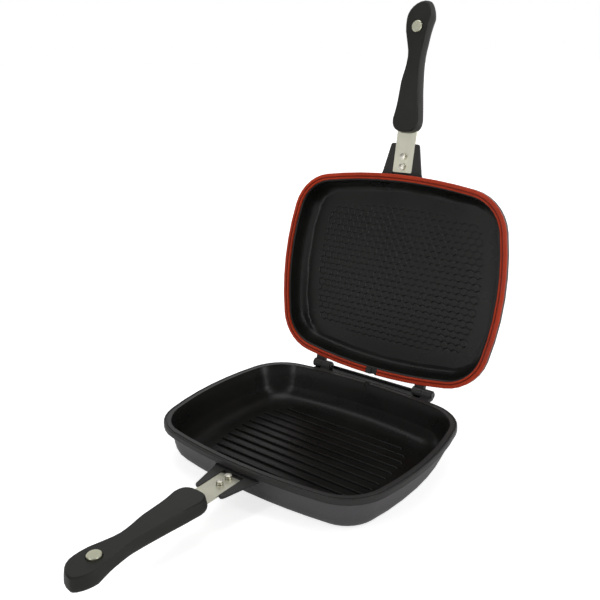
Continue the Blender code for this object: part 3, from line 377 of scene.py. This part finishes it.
def smooth_group():
    """Geometry nodes that join a solid's corners and shade its gentle folds smooth."""
    name = "smooth_gentle_folds"
    if name in bpy.data.node_groups:
        return bpy.data.node_groups[name]
    tree = bpy.data.node_groups.new(name, "GeometryNodeTree")
    tree.interface.new_socket("Geometry", in_out="INPUT", socket_type="NodeSocketGeometry")
    angle = tree.interface.new_socket("Angle", in_out="INPUT", socket_type="NodeSocketFloat")
    angle.default_value = SMOOTH_ANGLE
    tree.interface.new_socket("Geometry", in_out="OUTPUT", socket_type="NodeSocketGeometry")
    board = Board(tree)
    given, result = board.add("NodeGroupInput"), board.add("NodeGroupOutput")
    weld = board.add("GeometryNodeMergeByDistance")
    weld.inputs["Distance"].default_value = WELD_DISTANCE
    board.join(given.outputs["Geometry"], weld.inputs["Geometry"])
    plain = board.add("GeometryNodeRemoveAttribute")
    plain.inputs["Name"].default_value = "custom_normal"
    board.join(weld.outputs[0], plain.inputs["Geometry"])
    faces = board.add("GeometryNodeSetShadeSmooth", domain="FACE")
    board.join(plain.outputs[0], faces.inputs["Geometry"])
    fold = board.add("GeometryNodeInputMeshEdgeAngle")
    gentle = board.add("FunctionNodeCompare", data_type="FLOAT", operation="LESS_THAN")
    board.join(fold.outputs["Unsigned Angle"], gentle.inputs[0])
    board.join(given.outputs["Angle"], gentle.inputs[1])
    edges = board.add("GeometryNodeSetShadeSmooth", domain="EDGE")
    board.join(faces.outputs[0], edges.inputs["Geometry"])
    board.join(gentle.outputs[0], edges.inputs["Shade Smooth"])
    board.join(edges.outputs[0], result.inputs["Geometry"])
    return tree


def smooth(item):
    """Smooth shading on gentle folds, with wide faces kept flat."""
    folds = item.modifiers.new("smooth_gentle_folds", "NODES")
    folds.node_group = smooth_group()
    weights = item.modifiers.new("face_weights", "WEIGHTED_NORMAL")
    weights.mode = "FACE_AREA_WITH_ANGLE"
    weights.keep_sharp = True


def new_material(name):
    material = bpy.data.materials.new(name)
    material.use_nodes = True
    board = Board(material.node_tree)
    return material, board, material.node_tree.nodes["Principled BSDF"]


def dress(material, *nodes):
    for name in nodes:
        item = frame["nodes"][name]
        item.data.materials.clear()
        item.data.materials.append(material)
        smooth(item)


def bump(board, height, distance, strength=1.0, normal=None):
    node = board.add("ShaderNodeBump")
    node.inputs["Strength"].default_value = strength
    node.inputs["Distance"].default_value = distance
    board.join(height, node.inputs["Height"])
    if normal is not None:
        board.join(normal, node.inputs["Normal"])
    return node.outputs[0]


def pan_material(name, lid):
    """Coating inside, charcoal rim and bracket, and the paler skirt outside, parted by place."""
    finish = settings().pans
    material, board, shader = new_material(name)
    coords = board.add("ShaderNodeTexCoord")
    place, direction = coords.outputs["Object"], coords.outputs["Normal"]
    if lid:
        turned = use_group(board, shut_frame_group(), Place=place, Direction=direction)
        place, direction = turned.outputs["Place"], turned.outputs["Direction"]
    distance = use_group(board, outline_group(), Place=place).outputs["Distance"]
    mouth = board.step(distance, EDGE_SOFTNESS - MOUTH_INSET, -EDGE_SOFTNESS - MOUTH_INSET)
    place_xyz = board.add("ShaderNodeSeparateXYZ")
    board.join(place, place_xyz.inputs[0])
    facing = board.add("ShaderNodeSeparateXYZ")
    board.join(direction, facing.inputs[0])
    up = facing.outputs[2]
    away, edge = (1.0, LID_FLANGE_TOP_Z) if lid else (-1.0, PAN_FLANGE_BOTTOM_Z)
    faces_in = board.step(up, away * FACING_SOFTNESS, -away * FACING_SOFTNESS)
    beyond_rim = board.step(place_xyz.outputs[2], edge - away * FLANGE_BLEND_INSIDE,
                            edge + away * FLANGE_BLEND_OUTSIDE)
    inside = board.math("MULTIPLY", mouth, faces_in)
    # the brackets and the hinges stand outside the rim's outline and keep the rim's finish
    within = board.step(distance, EDGE_SOFTNESS - SKIRT_INSET, -EDGE_SOFTNESS - SKIRT_INSET)
    skirt = board.math("MULTIPLY", beyond_rim, within)
    grain = use_group(board, grain_group(), Vector=place, Grain_scale=1500.0, Cloud_scale=18.0)
    cloud = board.step(grain.outputs["Cloud"], 0.35, 0.65)
    fleck = board.step(grain.outputs["Grain"], 0.35, 0.75)
    coating = board.tones(cloud, finish.coating, 0.86, 1.16)
    shell = board.tones(fleck, finish.skirt, 0.88, 1.14)
    rim = board.tones(fleck, finish.rim, 0.88, 1.15)
    colour = board.colours(inside, board.colours(skirt, rim, shell), coating)
    outside_roughness = board.values(skirt, finish.rim_roughness, finish.skirt_roughness)
    if not lid:
        # the ledge along the hinge lies below the rim and gets painted shade, as dark as the inside
        ledge_shade = board.math("MULTIPLY", board.step(distance, 0.0, EDGE_SOFTNESS),
                           board.step(place_xyz.outputs[2], LEDGE_TOP_Z, LEDGE_TOP_Z - EDGE_SOFTNESS))
        ledge_shade = board.math("MULTIPLY", ledge_shade, board.math("GREATER_THAN", place_xyz.outputs[1], LEDGE_FRONT_Y))
        colour = board.colours(ledge_shade, colour, scaled(finish.coating, LEDGE_SHADE_TONE))
    roughness = board.values(inside, outside_roughness, finish.coating_roughness)
    spread = board.math("MULTIPLY_ADD", cloud, 0.06, -0.03)
    board.join(board.math("ADD", roughness, spread), shader.inputs["Roughness"])
    metal = board.math("MULTIPLY", skirt, board.math("SUBTRACT", 1.0, inside))
    board.join(board.math("MULTIPLY", metal, SKIRT_METALLIC), shader.inputs["Metallic"])
    shader.inputs["Specular IOR Level"].default_value = PAN_SPECULAR
    normal = bump(board, grain.outputs["Grain"], PAN_GRAIN_DISTANCE, 0.6)
    if lid:
        cells = use_group(board, honeycomb_group(), Place=place, Width=finish.cell_width, Row=finish.cell_row,
                          Swing=finish.cell_swing, Groove=finish.groove_width)
        field = board.step(distance, -CELLS_INSET, -CELLS_INSET - 3.0 * EDGE_SOFTNESS)
        share = board.math("MULTIPLY", field, inside)
        groove = board.math("MULTIPLY", cells.outputs["Depth"], share)
        normal = bump(board, board.math("SUBTRACT", 1.0, groove), finish.groove_depth, 1.0, normal)
        # painted shade darkens the grooves between the cells, on top of their bump
        colour = board.colours(board.math("MULTIPLY", groove, HONEYCOMB_SHADE), colour, (0.0, 0.0, 0.0))
    board.join(colour, shader.inputs["Base Color"])
    board.join(normal, shader.inputs["Normal"])
    return material


class FLIPPAN_OT_finish_pans(bpy.types.Operator):
    """Give both cast pans their coating, rims and skirts"""
    bl_idname = "flip_pan.finish_pans"
    bl_label = "Finish pans"

    def execute(self, context):
        dress(pan_material("deep_pan_finish", False), "lower_pan")
        dress(pan_material("shallow_pan_finish", True), "upper_pan")
        return {"FINISHED"}


class FLIPPAN_OT_finish_gasket(bpy.types.Operator):
    """Give the gasket its silicone"""
    bl_idname = "flip_pan.finish_gasket"
    bl_label = "Finish gasket"

    def execute(self, context):
        finish = settings().seal
        material, board, shader = new_material("gasket_silicone")
        open_place = board.add("ShaderNodeTexCoord").outputs["Object"]
        place = use_group(board, shut_frame_group(), Place=open_place).outputs["Place"]
        grain = use_group(board, grain_group(), Vector=place, Grain_scale=1100.0, Cloud_scale=30.0)
        cloud = board.step(grain.outputs["Cloud"], 0.3, 0.7)
        colour = board.tones(cloud, finish.silicone, 0.90, 1.12)
        distance = use_group(board, outline_group(), Place=place).outputs["Distance"]
        # painted shade darkens the silicone along the groove in the gasket's middle
        off_groove = board.math("ABSOLUTE", board.math("ADD", distance, GASKET_GROOVE_INSET))
        painted_groove_shade = board.step(off_groove, GASKET_GROOVE_HALF_WIDTH, 0.3 * GASKET_GROOVE_HALF_WIDTH)
        colour = board.colours(painted_groove_shade, colour, scaled(finish.silicone, GASKET_GROOVE_SHADE_TONE))
        board.join(colour, shader.inputs["Base Color"])
        roughness = board.math("MULTIPLY_ADD", cloud, 0.10, finish.roughness - 0.05)
        board.join(roughness, shader.inputs["Roughness"])
        board.join(bump(board, grain.outputs["Grain"], GASKET_GRAIN_DISTANCE, 0.5), shader.inputs["Normal"])
        shader.inputs["Specular IOR Level"].default_value = GASKET_SPECULAR
        shader.inputs["Subsurface Weight"].default_value = GASKET_SUBSURFACE
        shader.inputs["Subsurface Radius"].default_value = GASKET_SUBSURFACE_RADIUS
        dress(material, "rim_gasket")
        return {"FINISHED"}


class FLIPPAN_OT_finish_grips(bpy.types.Operator):
    """Give the grips their moulded resin"""
    bl_idname = "flip_pan.finish_grips"
    bl_label = "Finish grips"

    def execute(self, context):
        finish = settings().handles
        material, board, shader = new_material("grip_resin")
        place = board.add("ShaderNodeTexCoord").outputs["Object"]
        grain = use_group(board, grain_group(), Vector=place, Grain_scale=1300.0, Cloud_scale=22.0)
        cloud = board.step(grain.outputs["Cloud"], 0.3, 0.7)
        board.join(board.tones(cloud, finish.grip, 0.90, 1.12), shader.inputs["Base Color"])
        roughness = board.math("MULTIPLY_ADD", cloud, 0.10, finish.grip_roughness - 0.05)
        board.join(roughness, shader.inputs["Roughness"])
        board.join(bump(board, grain.outputs["Grain"], GRIP_GRAIN_DISTANCE, 0.6), shader.inputs["Normal"])
        shader.inputs["Specular IOR Level"].default_value = GRIP_SPECULAR
        dress(material, *GRIP_NODES)
        return {"FINISHED"}


def brushed_material(name, colour, roughness, stretch, strength):
    """Brushed metal whose fine scratches run along one axis."""
    material, board, shader = new_material(name)
    place = board.add("ShaderNodeTexCoord").outputs["Object"]
    stretched = board.add("ShaderNodeVectorMath", operation="MULTIPLY")
    board.join(place, stretched.inputs[0])
    stretched.inputs[1].default_value = stretch
    scratches = board.noise(stretched.outputs[0], 1.0, 5.0, 0.7)
    cloud = board.step(board.noise(place, 60.0, 3.0), 0.3, 0.7)
    tone = board.math("ADD", board.math("MULTIPLY", scratches, 0.6), board.math("MULTIPLY", cloud, 0.4))
    board.join(board.tones(tone, colour, 0.86, 1.08), shader.inputs["Base Color"])
    board.join(board.math("MULTIPLY_ADD", scratches, 0.16, roughness - 0.08), shader.inputs["Roughness"])
    board.join(bump(board, scratches, SCRATCH_DISTANCE, strength), shader.inputs["Normal"])
    shader.inputs["Metallic"].default_value = 1.0
    return material


class FLIPPAN_OT_finish_metal(bpy.types.Operator):
    """Give the straps, rivets, magnets, pins and screws their metals"""
    bl_idname = "flip_pan.finish_metal"
    bl_label = "Finish metal"

    def execute(self, context):
        finish = settings().handles
        metals = (
            ("strap_steel", finish.strap, 0.34, (2600.0, 50.0, 60.0), 0.5, STRAP_NODES),
            ("rivet_metal", finish.rivet, 0.42, (500.0, 500.0, 500.0), 0.3, RIVET_NODES),
            ("magnet_plating", finish.magnet, 0.34, (700.0, 700.0, 700.0), 0.3, MAGNET_NODES),
            ("pin_steel", finish.pin, 0.38, (900.0, 900.0, 900.0), 0.3, PIN_NODES + SCREW_NODES),
        )
        for name, colour, roughness, stretch, strength, nodes in metals:
            dress(brushed_material(name, colour, roughness, stretch, strength), *nodes)
        return {"FINISHED"}


def floor_material(stage):
    """A pale floor that the camera, glossy and transmission rays see as white, with the shadow kept."""
    material, board, shader = new_material("studio_floor")
    shader.inputs["Base Color"].default_value = (*stage.floor, 1.0)
    shader.inputs["Roughness"].default_value = FLOOR_ROUGHNESS
    shader.inputs["Specular IOR Level"].default_value = 0.0
    path = board.add("ShaderNodeLightPath")
    seen = board.math("MAXIMUM", path.outputs["Is Camera Ray"], path.outputs["Is Transmission Ray"])
    place = board.add("ShaderNodeTexCoord").outputs["Object"]
    distance = board.add("ShaderNodeVectorMath", operation="LENGTH")
    board.join(place, distance.inputs[0])
    far = board.step(distance.outputs["Value"], GLOW_NEAR, GLOW_FAR)
    glow = board.add("ShaderNodeEmission")
    glow.inputs["Color"].default_value = (1.0, 1.0, 1.0, 1.0)
    seen = board.math("MULTIPLY", seen, board.values(far, *SEEN_GLOW))
    mirrored = board.math("MULTIPLY", path.outputs["Is Glossy Ray"], board.values(far, *MIRRORED_GLOW))
    board.join(board.math("ADD", seen, mirrored), glow.inputs["Strength"])
    both = board.add("ShaderNodeAddShader")
    board.join(shader.outputs[0], both.inputs[0])
    board.join(glow.outputs[0], both.inputs[1])
    output = board.tree.nodes["Material Output"]
    board.join(both.outputs[0], output.inputs["Surface"])
    return material


def add_lamp(name, place, target, size, power):
    lamp = bpy.data.lights.new(name, "AREA")
    lamp.shape = "RECTANGLE"
    lamp.size, lamp.size_y = size
    lamp.energy = power
    item = bpy.data.objects.new(name, lamp)
    bpy.context.scene.collection.objects.link(item)
    item.location = place
    item.rotation_mode = "QUATERNION"
    item.rotation_quaternion = (Vector(target) - Vector(place)).to_track_quat("-Z", "Y")


def add_camera():
    """The photograph's view, from the fitted angles, distance and focal length."""
    azimuth, elevation, roll = CAMERA_AZIMUTH, CAMERA_ELEVATION, CAMERA_ROLL
    right = Vector((math.cos(azimuth), math.sin(azimuth), 0.0))
    back = Vector((math.sin(azimuth) * math.cos(elevation), -math.cos(azimuth) * math.cos(elevation),
                   math.sin(elevation)))
    up = back.cross(right)
    rolled_right = math.cos(roll) * right - math.sin(roll) * up
    rolled_up = math.sin(roll) * right + math.cos(roll) * up
    turn = Matrix((rolled_right, rolled_up, back)).transposed()
    place = turn @ CAMERA_PLACE + Vector((0.0, 0.0, PAN_RIM_Z))
    camera = bpy.data.cameras.new("photo_camera")
    camera.sensor_width = SENSOR_WIDTH_MM
    camera.lens = CAMERA_FOCAL_PIXELS * camera.sensor_width / PICTURE_WIDTH_PIXELS
    item = bpy.data.objects.new("photo_camera", camera)
    bpy.context.scene.collection.objects.link(item)
    item.matrix_world = Matrix.Translation(place) @ turn.to_4x4()
    bpy.context.scene.camera = item


class FLIPPAN_OT_set_stage(bpy.types.Operator):
    """Add the floor, the lamps, the even light and the camera"""
    bl_idname = "flip_pan.set_stage"
    bl_label = "Set stage"

    def execute(self, context):
        stage = settings().stage
        mesh = bpy.data.meshes.new("floor")
        ring = [(stage.floor_radius * math.cos(math.tau * i / FLOOR_STEPS),
                 stage.floor_radius * math.sin(math.tau * i / FLOOR_STEPS), 0.0) for i in range(FLOOR_STEPS)]
        mesh.from_pydata(ring, [], [tuple(range(FLOOR_STEPS))])
        floor = bpy.data.objects.new("floor", mesh)
        context.scene.collection.objects.link(floor)
        mesh.materials.append(floor_material(stage))
        level = (0.0, 0.0, TALL_LAMP_Z)
        add_lamp("key_lamp", (1.75, 0.1, TALL_LAMP_Z), level, TALL_LAMP, stage.key_power)
        add_lamp("fill_lamp", (-0.25, -1.75, TALL_LAMP_Z), level, TALL_LAMP, stage.fill_power)
        add_lamp("top_lamp", (-0.3, 0.2, 2.0), (0.0, 0.0, 0.12), TOP_LAMP, stage.top_power)
        world = bpy.data.worlds.new("studio")
        context.scene.world = world
        world.use_nodes = True
        board = Board(world.node_tree)
        sky = world.node_tree.nodes["Background"]
        sky.inputs["Color"].default_value = (1.0, 1.0, 1.0, 1.0)
        path = board.add("ShaderNodeLightPath")
        toward = board.add("ShaderNodeSeparateXYZ")
        board.join(board.add("ShaderNodeTexCoord").outputs["Generated"], toward.inputs[0])
        # the pale backdrop behind the object reaches higher than the light in front of it
        behind = board.step(toward.outputs[1], *BACKDROP_TURN)
        low = board.values(behind, 0.0, BACKDROP_LIFT)
        high = board.math("ADD", low, HORIZON_FADE)
        even = board.step(toward.outputs[2], low, high, stage.horizon, stage.sky)
        board.join(board.values(path.outputs["Is Camera Ray"], even, 1.0), sky.inputs["Strength"])
        add_camera()
        context.scene.view_settings.view_transform = "Standard"
        return {"FINISHED"}


class FlipPanSettings(bpy.types.PropertyGroup):
    """All of the part's settings."""
    pans: PointerProperty(type=PanFinish)
    handles: PointerProperty(type=HandleFinish)
    seal: PointerProperty(type=SealFinish)
    stage: PointerProperty(type=StageSettings)


OPERATORS = (FLIPPAN_OT_finish_pans, FLIPPAN_OT_finish_gasket, FLIPPAN_OT_finish_grips,
             FLIPPAN_OT_finish_metal, FLIPPAN_OT_set_stage)


class FLIPPAN_PT_panel(bpy.types.Panel):
    """Lists the part's operators and settings in the sidebar"""
    bl_idname = "FLIPPAN_PT_panel"
    bl_label = "Flip Pan"
    bl_space_type = "VIEW_3D"
    bl_region_type = "UI"
    bl_category = "Flip Pan"

    def draw(self, context):
        for operator in OPERATORS:
            self.layout.operator(operator.bl_idname)
        for part in ("pans", "handles", "seal", "stage"):
            box = self.layout.box()
            values = getattr(context.scene.flip_pan, part)
            for name in values.__annotations__:
                box.prop(values, name)


CLASSES = (PanFinish, HandleFinish, SealFinish, StageSettings, FlipPanSettings, *OPERATORS, FLIPPAN_PT_panel)


def register():
    for item in CLASSES:
        bpy.utils.register_class(item)
    bpy.types.Scene.flip_pan = PointerProperty(type=FlipPanSettings)


def unregister():
    del bpy.types.Scene.flip_pan
    for item in reversed(CLASSES):
        bpy.utils.unregister_class(item)


def main():
    register()
    for operator in OPERATORS:
        section, name = operator.bl_idname.split(".")
        getattr(getattr(bpy.ops, section), name)()


if __name__ == "__main__":
    main()
